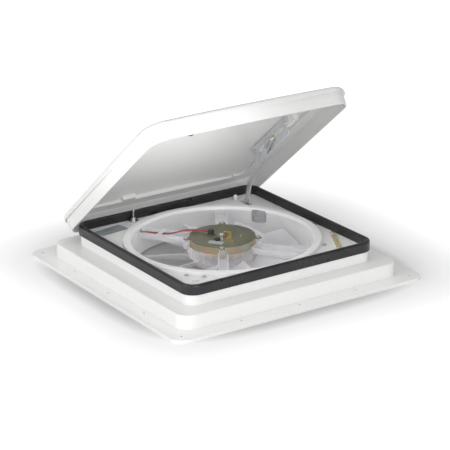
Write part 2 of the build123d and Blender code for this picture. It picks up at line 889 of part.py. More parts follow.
def cheek_outline():
    outline = Pos((cheek_front + cheek_back) / 2, (cheek_bottom + deck_under) / 2) * Rectangle(
        cheek_back - cheek_front, deck_under - cheek_bottom)
    outline = fillet(outline.vertices().group_by(Axis.Y)[0], arm_hub)
    return outline - Pos(pivot_y, pivot_z) * Circle(pivot_pin + fit_gap)


def make_lift_frame():
    outline = cheek_outline()
    left = side_plate(outline, cheek_left, cheek_left + cheek_thick)
    right = side_plate(outline, cheek_right, cheek_right + cheek_thick)
    right -= cross_pin(pinion_shaft + fit_gap, cheek_right, cheek_right + cheek_thick, pinion_y, pinion_z)
    web = block(cheek_left, cheek_right + cheek_thick, cheek_back - cheek_thick, cheek_back,
                pivot_z - arm_hub, deck_under)
    flange = block(cheek_left - cheek_flange, cheek_left, cheek_front, cheek_back,
                   deck_under - cheek_thick, deck_under)
    flange += block(cheek_right, cheek_right + cheek_thick + cheek_flange, cheek_front, cheek_back,
                    deck_under - cheek_thick, deck_under)
    return left + right + web + flange


def make_pivot_pin():
    pin = cross_pin(pivot_pin, cheek_left, cheek_right + cheek_thick + pin_head_thick, pivot_y, pivot_z)
    return pin + cross_pin(pivot_pin + pin_head_thick, cheek_left - pin_head_thick, cheek_left, pivot_y, pivot_z)


def make_spacer():
    ring = Circle(pivot_pin + cheek_thick) - Circle(pivot_pin + fit_gap)
    return side_plate(Pos(pivot_y, pivot_z) * ring, cheek_left + cheek_thick + seat_gap, arm_left)


def make_lift_motor():
    face = cheek_right + cheek_thick
    body = cross_pin(lift_motor_radius, face, face + lift_motor_length, pinion_y, pinion_z)
    body = fillet(body.edges().sort_by(Axis.X)[-1], pinion_shaft)
    return body - cross_pin(pinion_shaft + fit_gap, face, face + lift_motor_length * 0.6, pinion_y, pinion_z)


def make_housing():
    x, y = housing_place()
    body = drum(housing_radius, housing_bottom, deck_under, x, y)
    nose = drum(housing_radius, deck_under, housing_top, x, y) & drum(ring_inner - 2 * seat_gap, deck_under, housing_top)
    nose = fillet(edges_at(nose, housing_top), rib_skin)
    return body + nose


def make_roller():
    left = tip_right + seat_gap
    flange_right = roller_right + roller_flange_thick
    body = cross_pin(roller_radius, left, roller_right, tip_y, tip_z)
    body += cross_pin(roller_flange, roller_right, flange_right, tip_y, tip_z)
    return body - cross_pin(roller_pin + fit_gap, left, flange_right, tip_y, tip_z)


def make_roller_pin():
    """Pin with a knob outside the clip and a rivet head behind the roller."""
    clip_left = tip_left - clip_thick
    end = roller_right + roller_flange_thick + seat_gap
    pin = cross_pin(roller_pin, clip_left, end, tip_y, tip_z)
    pin += cross_pin(roller_radius, end, end + roller_flange_thick, tip_y, tip_z)
    return pin + cross_pin(knob_radius, clip_left - knob_thick, clip_left, tip_y, tip_z)


def make_roller_clip():
    outline = strip([(0, 0), (clip_tail, 0)], clip_width) + Circle(knob_radius + seat_gap)
    outline = Pos(tip_y, tip_z) * Rot(0, 0, clip_lean - arm_rise) * outline
    outline -= Pos(tip_y, tip_z) * Circle(roller_pin + fit_gap)
    return side_plate(outline, tip_left - clip_thick, tip_left)


# Pieces on the deck


def make_ball_post():
    post = drum(post_radius / 2, deck_under, deck_top, post_x, post_y)
    post += drum(post_radius, deck_top, deck_top + ball_height, post_x, post_y)
    return post + Pos(post_x, post_y, deck_top + ball_height) * Sphere(ball_radius)


def make_switch_body():
    body = drum(switch_radius - 2 * seat_gap, deck_under - switch_depth, deck_top, switch_x, switch_y)
    body += drum(switch_radius + rim_skin, deck_top, deck_top + rib_skin, switch_x, switch_y)
    ferrule = drum(ferrule_radius, deck_top, deck_top + ferrule_height, switch_x, switch_y)
    body += fillet(edges_at(ferrule, deck_top + ferrule_height), ferrule_round)
    bore = drum(plunger_radius + fit_gap, deck_under - switch_depth + rim_skin, deck_top + ferrule_height,
                switch_x, switch_y)
    return body - bore


def make_plunger():
    top = deck_top + plunger_top
    body = drum(plunger_radius, deck_top - ferrule_height, top, switch_x, switch_y)
    body += drum(plunger_head, top - plunger_head_height, top, switch_x, switch_y)
    return fillet(edges_at(body, top), plunger_head_height / 3)


def sensor_place():
    return Pos(sensor_x, sensor_y, deck_top) * Rot(0, 0, sensor_turn)


def make_sensor():
    board = Pos(0, 0, sensor_thick / 2) * Box(sensor_length, sensor_width, sensor_thick)
    board -= Pos(sensor_length / 2 - screw_head, 0, -overrun) * extrude(
        Circle(screw_shank + fit_gap), sensor_thick + 2 * overrun)
    return sensor_place() * board


def make_sensor_strips():
    pieces = []
    for i in (-1, 0, 1):
        length = sensor_length - 4 * screw_head
        leaf = Box(length, strip_width, strip_thick)
        pieces.append(sensor_place() * Pos(-screw_head, i * strip_pitch, sensor_thick + strip_thick / 2) * leaf)
    return Compound(children=pieces)


def make_sensor_screw():
    place = sensor_place() * Pos(sensor_length / 2 - screw_head, 0, 0)
    x, y, z = tuple(place.position)
    return screw(x, y, deck_top + sensor_thick, sensor_thick)


def make_deck_screws():
    return Compound(children=[screw(x, y, deck_top, wall_skin + screw_shank) for x, y in deck_screw_places()])


def make_deck_foot():
    body = drum(foot_radius, deck_top, deck_top + foot_height, foot_x, foot_y)
    return fillet(edges_at(body, deck_top + foot_height), foot_height / 3)


# Wires in the left strut


def bend_radii(points):
    radii = []
    for before, here, after in zip(points, points[1:], points[2:]):
        first = Vector(*here) - Vector(*before)
        second = Vector(*after) - Vector(*here)
        half_turn = math.radians(first.get_angle(second)) / 2
        radii.append(0.45 * min(first.length, second.length) / math.tan(half_turn))
    return radii


wire_reach_shares = (1.045, 0.9, 0.75, 0.62, 0.45, 0.3)
wire_sway_shares = (0.0, -0.6, -0.8, 0.9, 0.5, 0.0)
wire_low_shares = (-0.5, -0.3, 0.0)
wire_climb_shares = (0.3, 0.85, 1.0)
wire_sway = 6.0


def make_wire(offset):
    """Wire that lies in the strut, climbs over the cup and enters the connector."""
    floor = strut_bottom + strut_skin + wire_height
    levels = [floor + share * wire_height for share in wire_low_shares]
    levels += [floor + share * (wire_level() - floor) for share in wire_climb_shares]
    points = []
    for reach, side, level in zip(wire_reach_shares, wire_sway_shares, levels):
        points.append((reach * ring_inner, offset + side * wire_sway, level))
    face = connector_reach + connector_length / 2
    points.append((face - connector_bore + seat_gap, offset, wire_level()))
    radii = bend_radii(points)
    print("wire bends", [round(r, 1) for r in radii])
    path = FilletPolyline(*points, radius=radii)
    wire = sweep(Plane(origin=path @ 0, z_dir=path % 0) * Circle(wire_radius), path=path)
    return Rot(0, 0, 180 - strut_azimuth) * wire


def make_wire_clip():
    inner = strut_widths[1] / 2 - strut_skin
    top = strut_bottom + strut_height
    bar = block(clip_reach, clip_reach + clip_length, -inner, inner, top - clip_height, top)
    return Rot(0, 0, 180 - strut_azimuth) * bar


# The parts, one file each


def make_all():
    return {
        "base_frame": make_base_frame(),
        "dome_seal": make_seal(),
        "intake_ring": make_ring(),
        "duct_shroud": make_duct(),
        "motor_spider": make_spider(),
        "motor_can": make_motor_can(),
        "motor_end_plate": make_end_plate(),
        "motor_screws": make_motor_screws(),
        "motor_connector": make_connector(),
        "motor_brush_holder": make_brush_holder(),
        "motor_boss": make_motor_boss(),
        "motor_terminals": make_terminals(),
        "motor_bearing": make_bearing(),
        "fan_rotor": make_rotor(),
        "fan_shaft": make_shaft(),
        "rotor_nut": make_rotor_nut(),
        "lid_frame": make_lid_frame(),
        "lid_cap": make_lid_cap(),
        "lift_bracket": make_bracket(),
        "bracket_screws": make_bracket_screws(),
        "lid_bumper": make_bumper(),
        "hinge_pin_left": make_hinge_pin(-1),
        "hinge_pin_right": make_hinge_pin(1),
        "lift_arm": make_arm(),
        "lift_sector": make_sector(),
        "lift_spacer": make_spacer(),
        "drive_pinion": make_pinion(),
        "lift_frame": make_lift_frame(),
        "lift_pivot_pin": make_pivot_pin(),
        "lift_motor": make_lift_motor(),
        "drive_housing": make_housing(),
        "arm_roller": make_roller(),
        "roller_pin": make_roller_pin(),
        "roller_clip": make_roller_clip(),
        "ball_post": make_ball_post(),
        "switch_body": make_switch_body(),
        "switch_plunger": make_plunger(),
        "rain_sensor": make_sensor(),
        "sensor_strips": make_sensor_strips(),
        "sensor_screw": make_sensor_screw(),
        "deck_screws": make_deck_screws(),
        "deck_foot": make_deck_foot(),
        "red_wire": make_wire(wire_spacing / 2),
        "grey_wire": make_wire(-wire_spacing / 2),
        "wire_clip": make_wire_clip(),
    }


for name, shape in make_all().items():
    export_step(shape, "parts/" + name + ".step")
    print(name, round(shape.volume))
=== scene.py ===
import bpy
import math
import numpy as np
from mathutils import Matrix, Vector


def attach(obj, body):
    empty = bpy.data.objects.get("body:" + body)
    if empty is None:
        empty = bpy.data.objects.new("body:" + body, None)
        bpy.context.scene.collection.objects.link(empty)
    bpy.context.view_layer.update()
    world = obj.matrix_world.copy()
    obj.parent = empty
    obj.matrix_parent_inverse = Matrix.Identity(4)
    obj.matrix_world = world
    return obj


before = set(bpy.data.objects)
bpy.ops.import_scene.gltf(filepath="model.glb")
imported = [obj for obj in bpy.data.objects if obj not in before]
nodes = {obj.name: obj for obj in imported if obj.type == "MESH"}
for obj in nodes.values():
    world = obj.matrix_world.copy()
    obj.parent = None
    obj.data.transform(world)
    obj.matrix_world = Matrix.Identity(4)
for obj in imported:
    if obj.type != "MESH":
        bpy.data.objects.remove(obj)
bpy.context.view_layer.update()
print("frame loaded", len(nodes), "nodes")


# camera: the photograph's place, turn and lens

camera = {
    "place": (-1.7161, -2.6382, 1.2139),  # metres
    "yaw": 33.08, "pitch": 19.87, "roll": -0.82,  # degrees
    "lens": 156.46, "sensor": 36.0,  # millimetres
    "shift": (0.00356, 0.0),
    "clip": (0.05, 60.0),  # metres
}


def placeCamera(setup):
    yaw, pitch, roll = (math.radians(setup[key]) for key in ("yaw", "pitch", "roll"))
    forward = Vector((math.sin(yaw) * math.cos(pitch), math.cos(yaw) * math.cos(pitch), -math.sin(pitch)))
    level = Vector((math.cos(yaw), -math.sin(yaw), 0.0))
    above = level.cross(forward)
    right = math.cos(roll) * level + math.sin(roll) * above
    up = -math.sin(roll) * level + math.cos(roll) * above
    turn = Matrix((right, up, -forward)).transposed().to_4x4()
    data = bpy.data.cameras.new("photoCamera")
    data.lens = setup["lens"]
    data.sensor_width = setup["sensor"]
    data.shift_x, data.shift_y = setup["shift"]
    data.clip_start, data.clip_end = setup["clip"]
    item = bpy.data.objects.new("photoCamera", data)
    item.matrix_world = Matrix.Translation(setup["place"]) @ turn
    bpy.context.scene.collection.objects.link(item)
    bpy.context.scene.camera = item


placeCamera(camera)


# helpers: a new material, and shader nodes that are added one at a time


def newMaterial(name):
    material = bpy.data.materials.new(name)
    material.use_nodes = True
    tree = material.node_tree
    tree.nodes.clear()
    return material, tree


def setOrLink(tree, socket, value):
    if hasattr(value, "links"):
        tree.links.new(value, socket)
    elif isinstance(value, (int, float)):
        socket.default_value = value
    elif socket.type == "RGBA":
        socket.default_value = tuple(value) + (1.0,)
    else:
        socket.default_value = tuple(value)


def addNoise(tree, vector, scale, detail, grain):
    noise = tree.nodes.new("ShaderNodeTexNoise")
    for key, value in (("Vector", vector), ("Scale", scale), ("Detail", detail), ("Roughness", grain)):
        setOrLink(tree, noise.inputs[key], value)
    return noise.outputs["Fac"]


def addRange(tree, value, span, low, high):
    node = tree.nodes.new("ShaderNodeMapRange")
    node.inputs["From Min"].default_value, node.inputs["From Max"].default_value = span
    for key, edge in (("Value", value), ("To Min", low), ("To Max", high)):
        setOrLink(tree, node.inputs[key], edge)
    return node.outputs["Result"]


def addMath(tree, operation, *values):
    node = tree.nodes.new("ShaderNodeMath")
    node.operation = operation
    for socket, value in zip(node.inputs, values):
        setOrLink(tree, socket, value)
    return node.outputs[0]


def addColourMix(tree, factor, first, second):
    mix = tree.nodes.new("ShaderNodeMix")
    mix.data_type = "RGBA"
    for key, value in (("Factor", factor), ("A", first), ("B", second)):
        setOrLink(tree, mix.inputs[key], value)
    return [socket for socket in mix.outputs if socket.type == "RGBA"][0]


# studio: pale floor with a painted contact shadow round the flange, soft boxes and a white world

floorPaper = {
    "half": 14.0,  # metres
    "openColour": 0.80, "paintedShadowColour": 0.46,  # paper away from the flange, and the painted contact shadow close to it
    "paintedShadowSpan": (0.25, 0.282), "cornerBlend": 0.26,  # metres
    "glowSpan": (0.26, 0.5), "glowLow": 0.05, "glowHigh": 0.75,  # metres, then strengths
}
world = {"colour": (1.0, 1.0, 1.0), "ambient": 0.34, "backdrop": 1.0}  # backdrop: seen by the camera
lamps = [
    # name, place, target, width, height, watts, spread in degrees
    ("leftBox", (-2.7, 0.1, 1.15), (0.0, 0.0, 0.1), 2.2, 1.5, 38.0, 180.0),
    ("topBox", (0.1, 0.3, 2.8), (0.0, 0.0, 0.1), 1.8, 1.8, 20.0, 180.0),
    ("frontBox", (-0.5, -2.7, 1.6), (0.0, 0.0, 0.1), 2.6, 1.0, 24.0, 180.0),
    ("lowBox", (-0.7, -2.2, 0.3), (0.05, 0.0, 0.28), 1.2, 0.4, 14.0, 180.0),
    ("trayGlow", (-0.75, -1.3, 0.04), (-0.09, -0.01, 0.247), 0.16, 0.10, 0.2, 13.0),
]


def makeFloor(setup):
    half = setup["half"]
    corners = [(-half, -half, 0), (half, -half, 0), (half, half, 0), (-half, half, 0)]
    mesh = bpy.data.meshes.new("studioFloor")
    mesh.from_pydata(corners, [], [(0, 1, 2, 3)])
    floor = bpy.data.objects.new("studioFloor", mesh)
    bpy.context.scene.collection.objects.link(floor)
    material, tree = newMaterial("floorPaper")
    # reach: the larger of the distances from the middle along X and Y, as the flange is square
    split = tree.nodes.new("ShaderNodeSeparateXYZ")
    tree.links.new(tree.nodes.new("ShaderNodeTexCoord").outputs["Object"], split.inputs[0])
    sides = [addMath(tree, "ABSOLUTE", split.outputs[axis]) for axis in ("X", "Y")]
    reach = addMath(tree, "SMOOTH_MAX", *sides, setup["cornerBlend"])
    # painted contact shadow: the paper's colour is darker close to the flange, and the glow below is
    # weaker there too, so the floor is darker round the object
    colour = addRange(tree, reach, setup["paintedShadowSpan"], setup["paintedShadowColour"], setup["openColour"])
    glow = addRange(tree, reach, setup["glowSpan"], setup["glowLow"], setup["glowHigh"])
    # the glow shows to the camera and in reflections, and lights nothing
    path = tree.nodes.new("ShaderNodeLightPath")
    seen = addMath(tree, "MAXIMUM", path.outputs["Is Camera Ray"], path.outputs["Is Glossy Ray"])
    paper = tree.nodes.new("ShaderNodeBsdfDiffuse")
    tree.links.new(colour, paper.inputs["Color"])
    shine = tree.nodes.new("ShaderNodeEmission")
    tree.links.new(addMath(tree, "MULTIPLY", seen, glow), shine.inputs["Strength"])
    total = tree.nodes.new("ShaderNodeAddShader")
    tree.links.new(paper.outputs[0], total.inputs[0])
    tree.links.new(shine.outputs[0], total.inputs[1])
    output = tree.nodes.new("ShaderNodeOutputMaterial")
    tree.links.new(total.outputs[0], output.inputs["Surface"])
    mesh.materials.append(material)


def makeWorld(setup):
    item = bpy.data.worlds.new("studioWorld")
    bpy.context.scene.world = item
    item.use_nodes = True
    tree = item.node_tree
    tree.nodes.clear()
    seen = tree.nodes.new("ShaderNodeLightPath").outputs["Is Camera Ray"]
    back = tree.nodes.new("ShaderNodeBackground")
    setOrLink(tree, back.inputs["Color"], setup["colour"])
    strength = addRange(tree, seen, (0.0, 1.0), setup["ambient"], setup["backdrop"])
    tree.links.new(strength, back.inputs["Strength"])
    output = tree.nodes.new("ShaderNodeOutputWorld")
    tree.links.new(back.outputs[0], output.inputs["Surface"])


def makeLamps(rows):
    for name, place, target, width, height, watts, spread in rows:
        data = bpy.data.lights.new(name, "AREA")
        data.shape = "RECTANGLE"
        data.size, data.size_y = width, height
        data.energy = watts
        data.spread = math.radians(spread)
        item = bpy.data.objects.new(name, data)
        aim = (Vector(target) - Vector(place)).to_track_quat("-Z", "Y")
        item.matrix_world = Matrix.Translation(place) @ aim.to_matrix().to_4x4()
        bpy.context.scene.collection.objects.link(item)


makeFloor(floorPaper)
makeWorld(world)
makeLamps(lamps)
bpy.context.scene.view_settings.view_transform = "Standard"
print("camera and studio ready")


# shared surface effects, each a node group with named inputs and outputs

socketKinds = {"colour": "NodeSocketColor", "value": "NodeSocketFloat", "vector": "NodeSocketVector"}
skinOutputs = {"Colour": "colour", "Roughness": "value", "Normal": "vector"}


def newGroup(name, inputs, outputs):
    group = bpy.data.node_groups.new(name, "ShaderNodeTree")
    for side, sockets in (("INPUT", inputs), ("OUTPUT", outputs)):
        for label, kind in sockets.items():
            group.interface.new_socket(label, in_out=side, socket_type=socketKinds[kind])
    return group, group.nodes.new("NodeGroupInput"), group.nodes.new("NodeGroupOutput")


def closeGroup(group, end, height, strength, depth, colour, rough):
    # the end that both groups share: relief as a normal, and the three outputs
    bump = group.nodes.new("ShaderNodeBump")
    bump.inputs["Distance"].default_value = depth
    group.links.new(strength, bump.inputs["Strength"])
    group.links.new(height, bump.inputs["Height"])
    group.links.new(colour, end.inputs["Colour"])
    group.links.new(rough, end.inputs["Roughness"])
    group.links.new(bump.outputs["Normal"], end.inputs["Normal"])
    return group


mouldPattern = {
    "grain": 0.55,
    "driftDetail": 2.0, "driftSpan": (0.35, 0.7),
    "hazeScale": 34.0, "hazeDetail": 3.0, "hazeSpan": (0.3, 0.7),
    "peelDetail": 2.0, "peelDepth": 0.0004,  # metres
}
sheetPattern = {
    "grain": 0.6, "detail": 4.0,
    "bloomSpan": (0.35, 0.68), "streakScale": 1.0, "streakSpan": (0.3, 0.7),
    "depth": 0.0003,  # metres
}


def makeMouldGroup(setup):
    # moulded plastic: faint colour drift, slight haze in the gloss, and orange peel
    inputs = {"Colour": "colour", "Shade Colour": "colour", "Drift Scale": "value", "Gloss Low": "value",
              "Gloss High": "value", "Peel Scale": "value", "Peel Strength": "value"}
    group, start, end = newGroup("mouldedSkin", inputs, skinOutputs)
    given = start.outputs
    place = group.nodes.new("ShaderNodeTexCoord").outputs["Object"]
    drift = addNoise(group, place, given["Drift Scale"], setup["driftDetail"], setup["grain"])
    mask = addRange(group, drift, setup["driftSpan"], 0.0, 1.0)
    colour = addColourMix(group, mask, given["Colour"], given["Shade Colour"])
    haze = addNoise(group, place, setup["hazeScale"], setup["hazeDetail"], setup["grain"])
    rough = addRange(group, haze, setup["hazeSpan"], given["Gloss Low"], given["Gloss High"])
    peel = addNoise(group, place, given["Peel Scale"], setup["peelDetail"], setup["grain"])
    return closeGroup(group, end, peel, given["Peel Strength"], setup["peelDepth"], colour, rough)


def makeSheetGroup(setup):
    # rolled sheet metal: streaks along one axis with a mottled plating bloom
    inputs = {"Colour": "colour", "Bloom Colour": "colour", "Bloom Scale": "value", "Streak": "vector",
              "Gloss Low": "value", "Gloss High": "value", "Relief": "value"}
    group, start, end = newGroup("rolledSheet", inputs, skinOutputs)
    given = start.outputs
    place = group.nodes.new("ShaderNodeTexCoord").outputs["Object"]
    stretch = group.nodes.new("ShaderNodeVectorMath")
    stretch.operation = "MULTIPLY"
    group.links.new(place, stretch.inputs[0])
    group.links.new(given["Streak"], stretch.inputs[1])
    streak = addNoise(group, stretch.outputs[0], setup["streakScale"], setup["detail"], setup["grain"])
    bloom = addNoise(group, place, given["Bloom Scale"], setup["detail"], setup["grain"])
    mask = addRange(group, bloom, setup["bloomSpan"], 0.0, 1.0)
    colour = addColourMix(group, mask, given["Colour"], given["Bloom Colour"])
    rough = addRange(group, streak, setup["streakSpan"], given["Gloss Low"], given["Gloss High"])
    return closeGroup(group, end, streak, given["Relief"], setup["depth"], colour, rough)


mouldedSkin = makeMouldGroup(mouldPattern)
rolledSheet = makeSheetGroup(sheetPattern)


def placeGroup(tree, group, values):
    node = tree.nodes.new("ShaderNodeGroup")
    node.node_tree = group
    for key, value in values.items():
        setOrLink(tree, node.inputs[key], value)
    return node


def addShader(tree, constants):
    shader = tree.nodes.new("ShaderNodeBsdfPrincipled")
    for key, value in constants.items():
        setOrLink(tree, shader.inputs[key], value)
    output = tree.nodes.new("ShaderNodeOutputMaterial")
    tree.links.new(shader.outputs[0], output.inputs["Surface"])
    return shader


def layOn(tree, source, shader, colour=None):
    tree.links.new(colour or source.outputs["Colour"], shader.inputs["Base Color"])
    for key in ("Roughness", "Normal"):
        tree.links.new(source.outputs[key], shader.inputs[key])


def moulded(name, setup):
    material, tree = newMaterial(name)
    layOn(tree, placeGroup(tree, mouldedSkin, setup["skin"]), addShader(tree, setup.get("shader", {})))
    return material


def sheetMetal(name, setup):
    material, tree = newMaterial(name)
    layOn(tree, placeGroup(tree, rolledSheet, setup["sheet"]), addShader(tree, setup["shader"]))
    return material


def clearPlastic(name, setup):
    # see-through moulding: faint face on, denser where the wall is seen edge on; the emission in its
    # shader values is a painted glow standing in for light that comes through the plastic
    material, tree = newMaterial(name)
    shader = addShader(tree, setup["shader"])
    layOn(tree, placeGroup(tree, mouldedSkin, setup["skin"]), shader)
    weight = tree.nodes.new("ShaderNodeLayerWeight")
    weight.inputs["Blend"].default_value = setup["edgeBlend"]
    alpha = addRange(tree, weight.outputs["Facing"], (0.0, 1.0), *setup["density"])
    tree.links.new(alpha, shader.inputs["Alpha"])
    return material


# finishes: the values that each one gives to its group and its shader

whiteMoulding = {
    "skin": {"Colour": (0.84, 0.84, 0.835), "Shade Colour": (0.83, 0.83, 0.82), "Drift Scale": 2.0,
             "Gloss Low": 0.2, "Gloss High": 0.22, "Peel Scale": 90.0, "Peel Strength": 0.02},
    "shader": {"Specular IOR Level": 0.5},
}
lidShell = {
    "skin": {"Colour": (0.73, 0.73, 0.725), "Shade Colour": (0.72, 0.72, 0.71), "Drift Scale": 2.0,
             "Gloss Low": 0.24, "Gloss High": 0.26, "Peel Scale": 90.0, "Peel Strength": 0.02},
}
lidTray = {
    "skin": {"Colour": (0.75, 0.75, 0.745), "Shade Colour": (0.74, 0.74, 0.735), "Drift Scale": 2.0,
             "Gloss Low": 0.1, "Gloss High": 0.17, "Peel Scale": 60.0, "Peel Strength": 0.05},
    "shader": {"Specular IOR Level": 0.7},
}
ringGloss = {
    "skin": {"Colour": (0.93, 0.93, 0.93), "Shade Colour": (0.90, 0.90, 0.90), "Drift Scale": 9.0,
             "Gloss Low": 0.12, "Gloss High": 0.2, "Peel Scale": 300.0, "Peel Strength": 0.02},
}
sealRubber = {
    "skin": {"Colour": (0.014, 0.014, 0.016), "Shade Colour": (0.022, 0.022, 0.024), "Drift Scale": 30.0,
             "Gloss Low": 0.26, "Gloss High": 0.34, "Peel Scale": 80.0, "Peel Strength": 0.02},
    "shader": {"Specular IOR Level": 0.45},
}
clearWall = {
    "skin": {"Colour": (0.86, 0.855, 0.865), "Shade Colour": (0.80, 0.795, 0.81), "Drift Scale": 14.0,
             "Gloss Low": 0.06, "Gloss High": 0.16, "Peel Scale": 90.0, "Peel Strength": 0.12},
    # painted glow: a weak emission stands in for light coming through the clear duct wall
    "shader": {"Emission Color": (1.0, 0.985, 0.99), "Emission Strength": 0.12},
    "density": (0.42, 0.9), "edgeBlend": 0.38,
}
bladePlastic = {
    "skin": {"Colour": (0.80, 0.79, 0.81), "Shade Colour": (0.72, 0.71, 0.74), "Drift Scale": 12.0,
             "Gloss Low": 0.12, "Gloss High": 0.26, "Peel Scale": 90.0, "Peel Strength": 0.1},
    # painted glow: a weak emission stands in for light coming through the clear blades
    "shader": {"Emission Color": (1.0, 0.985, 0.99), "Emission Strength": 0.1},
    "density": (0.3, 0.75), "edgeBlend": 0.4,
}
clearCup = {
    "skin": {"Colour": (0.86, 0.85, 0.88), "Shade Colour": (0.70, 0.70, 0.75), "Drift Scale": 30.0,
             "Gloss Low": 0.05, "Gloss High": 0.14, "Peel Scale": 160.0, "Peel Strength": 0.2},
    # painted glow: a weak emission stands in for light coming through the clear cup and struts
    "shader": {"Emission Color": (0.96, 0.95, 1.0), "Emission Strength": 0.05},
    "density": (0.14, 0.8), "edgeBlend": 0.5,
}
blackPlastic = {
    "skin": {"Colour": (0.03, 0.03, 0.032), "Shade Colour": (0.05, 0.05, 0.052), "Drift Scale": 80.0,
             "Gloss Low": 0.35, "Gloss High": 0.5, "Peel Scale": 800.0, "Peel Strength": 0.1},
}
blackRubber = {
    "skin": {"Colour": (0.022, 0.022, 0.022), "Shade Colour": (0.045, 0.045, 0.045), "Drift Scale": 90.0,
             "Gloss Low": 0.5, "Gloss High": 0.7, "Peel Scale": 700.0, "Peel Strength": 0.15},
}
greyHousing = {
    "skin": {"Colour": (0.33, 0.33, 0.35), "Shade Colour": (0.42, 0.42, 0.44), "Drift Scale": 60.0,
             "Gloss Low": 0.2, "Gloss High": 0.35, "Peel Scale": 300.0, "Peel Strength": 0.08},
}
whiteNylon = {
    "skin": {"Colour": (0.80, 0.80, 0.78), "Shade Colour": (0.74, 0.74, 0.72), "Drift Scale": 70.0,
             "Gloss Low": 0.25, "Gloss High": 0.4, "Peel Scale": 500.0, "Peel Strength": 0.06},
}
tanPlastic = {
    "skin": {"Colour": (0.60, 0.53, 0.36), "Shade Colour": (0.52, 0.45, 0.29), "Drift Scale": 120.0,
             "Gloss Low": 0.3, "Gloss High": 0.45, "Peel Scale": 500.0, "Peel Strength": 0.06},
}
redSleeve = {
    "skin": {"Colour": (0.45, 0.025, 0.02), "Shade Colour": (0.35, 0.02, 0.018), "Drift Scale": 90.0,
             "Gloss Low": 0.3, "Gloss High": 0.45, "Peel Scale": 600.0, "Peel Strength": 0.05},
}
greySleeve = {
    "skin": {"Colour": (0.12, 0.12, 0.14), "Shade Colour": (0.2, 0.2, 0.22), "Drift Scale": 90.0,
             "Gloss Low": 0.25, "Gloss High": 0.4, "Peel Scale": 600.0, "Peel Strength": 0.05},
}
sensorBoard = {
    "skin": {"Colour": (0.74, 0.72, 0.64), "Shade Colour": (0.68, 0.66, 0.58), "Drift Scale": 60.0,
             "Gloss Low": 0.3, "Gloss High": 0.45, "Peel Scale": 500.0, "Peel Strength": 0.05},
}
zincPlate = {
    "sheet": {"Colour": (0.67, 0.69, 0.71), "Bloom Colour": (0.62, 0.64, 0.66), "Bloom Scale": 120.0,
              "Streak": (40.0, 120.0, 300.0), "Gloss Low": 0.28, "Gloss High": 0.38, "Relief": 0.02},
    "shader": {"Metallic": 0.6},
}
brightMetal = {
    "sheet": {"Colour": (0.66, 0.66, 0.67), "Bloom Colour": (0.58, 0.58, 0.60), "Bloom Scale": 200.0,
              "Streak": (600.0, 120.0, 120.0), "Gloss Low": 0.18, "Gloss High": 0.32, "Relief": 0.04},
    "shader": {"Metallic": 1.0},
}
screwPlate = {
    "sheet": {"Colour": (0.62, 0.60, 0.52), "Bloom Colour": (0.50, 0.49, 0.44), "Bloom Scale": 300.0,
              "Streak": (500.0, 500.0, 120.0), "Gloss Low": 0.22, "Gloss High": 0.38, "Relief": 0.04},
    "shader": {"Metallic": 0.95},
}
brassMetal = {
    "sheet": {"Colour": (0.72, 0.55, 0.24), "Bloom Colour": (0.58, 0.44, 0.20), "Bloom Scale": 260.0,
              "Streak": (500.0, 120.0, 120.0), "Gloss Low": 0.2, "Gloss High": 0.36, "Relief": 0.04},
    "shader": {"Metallic": 1.0},
}
goldStrip = {
    "sheet": {"Colour": (0.74, 0.58, 0.20), "Bloom Colour": (0.82, 0.70, 0.36), "Bloom Scale": 160.0,
              "Streak": (80.0, 80.0, 600.0), "Gloss Low": 0.22, "Gloss High": 0.4, "Relief": 0.03},
    "shader": {"Metallic": 0.9},
}
passivatedPlate = {
    "sheet": {"Colour": (0.27, 0.26, 0.17), "Bloom Colour": (0.20, 0.22, 0.17), "Bloom Scale": 46.0,
              "Streak": (220.0, 40.0, 300.0), "Gloss Low": 0.3, "Gloss High": 0.5, "Relief": 0.06},
    "shader": {"Metallic": 0.85},
}


def iridescentCan(name, setup):
    # passivated steel cup: gold, rose and green bands that drift round the wall
    material, tree = newMaterial(name)
    shader = addShader(tree, setup["shader"])
    sheet = placeGroup(tree, rolledSheet, setup["sheet"])
    place = tree.nodes.new("ShaderNodeTexCoord").outputs["Object"]
    ramp = tree.nodes.new("ShaderNodeValToRGB")
    stops = setup["tints"]
    while len(ramp.color_ramp.elements) < len(stops):
        ramp.color_ramp.elements.new(0.5)  # moved to its own spot below
    for element, (spot, colour) in zip(ramp.color_ramp.elements, stops):
        element.position = spot
        element.color = colour + (1.0,)
    tint = addNoise(tree, place, setup["tintScale"], setup["tintDetail"], setup["tintGrain"])
    tree.links.new(tint, ramp.inputs["Fac"])
    colour = addColourMix(tree, setup["tintShare"], sheet.outputs["Colour"], ramp.outputs["Color"])
    layOn(tree, sheet, shader, colour)
    return material


canFinish = {
    "shader": {"Metallic": 0.85},
    "tintScale": 26.0, "tintDetail": 2.0, "tintGrain": 0.55, "tintShare": 0.7,
    "tints": ((0.34, (0.66, 0.58, 0.30)), (0.46, (0.66, 0.44, 0.36)), (0.56, (0.50, 0.56, 0.34)),
              (0.68, (0.52, 0.50, 0.58))),
    "sheet": {"Colour": (0.60, 0.56, 0.42), "Bloom Colour": (0.5, 0.48, 0.40), "Bloom Scale": 70.0,
              "Streak": (40.0, 40.0, 500.0), "Gloss Low": 0.28, "Gloss High": 0.42, "Relief": 0.05},
}

